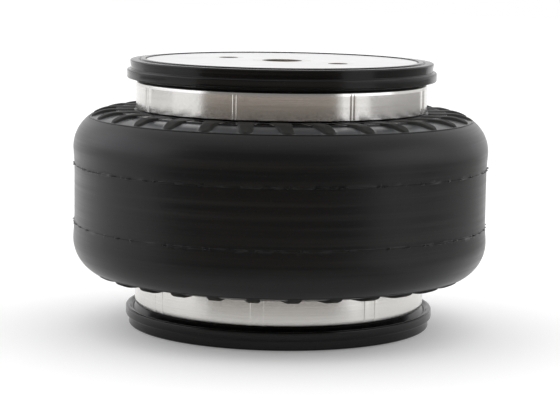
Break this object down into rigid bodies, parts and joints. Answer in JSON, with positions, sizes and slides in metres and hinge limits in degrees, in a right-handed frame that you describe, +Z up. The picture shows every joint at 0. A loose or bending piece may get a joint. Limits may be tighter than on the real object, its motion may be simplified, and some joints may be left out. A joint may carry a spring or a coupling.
{
  "type": "air bellows actuator",
  "caption": "Round rubber air bellows crimped between two flat end plates, with tapped mounting holes and an air port, which pushes its plates apart when filled.",
  "frame": {"origin": "centre of the base face, on the surface that the actuator stands on", "axes": "+Z up the axis from the base plate to the top plate, +X along the line of the mounting holes"},
  "size_m": [0.2164, 0.2164, 0.138],
  "materials": {
    "end_plate": "machined, bright",
    "spigot": "turned, grooved",
    "rim_rubber": "moulded, semi-gloss",
    "crimp_band": "brushed round the axis",
    "tapped_steel": "turned",
    "cover_rubber": "moulded, satin with mould lines",
    "cord_ply": "rubbered cord",
    "liner_rubber": "matt"
  },
  "bodies": {
    "base": {"bottom_end_plate": "end_plate", "bottom_spigot_ring": "spigot", "bottom_rim_seal": "rim_rubber", "bottom_crimp_band": "crimp_band", "bottom_mount_nuts": "tapped_steel"},
    "bellows": {"bellows_cover": "cover_rubber", "outer_cord_ply": "cord_ply", "inner_cord_ply": "cord_ply", "bellows_liner": "liner_rubber"},
    "top": {"top_end_plate": "end_plate", "top_spigot_ring": "spigot", "top_rim_seal": "rim_rubber", "top_crimp_band": "crimp_band", "top_mount_nuts": "tapped_steel", "air_port_bush": "tapped_steel"}
  },
  "joints": [
    {"name": "stroke", "type": "slide", "parent": "base", "child": "bellows", "axis": [0, 0, 1], "range_m": [-0.054, 0], "stiffness_N_per_m": 8000, "springref_m": 0.004, "deforming": ["bellows_cover", "outer_cord_ply", "inner_cord_ply", "bellows_liner"]},
    {"name": "tilt", "type": "hinge", "parent": "bellows", "child": "top", "pos_m": [0, 0, 0.104], "axis": [1, 0, 0], "range_deg": [-7, 7], "stiffness_Nm_per_rad": 60}
  ]
}
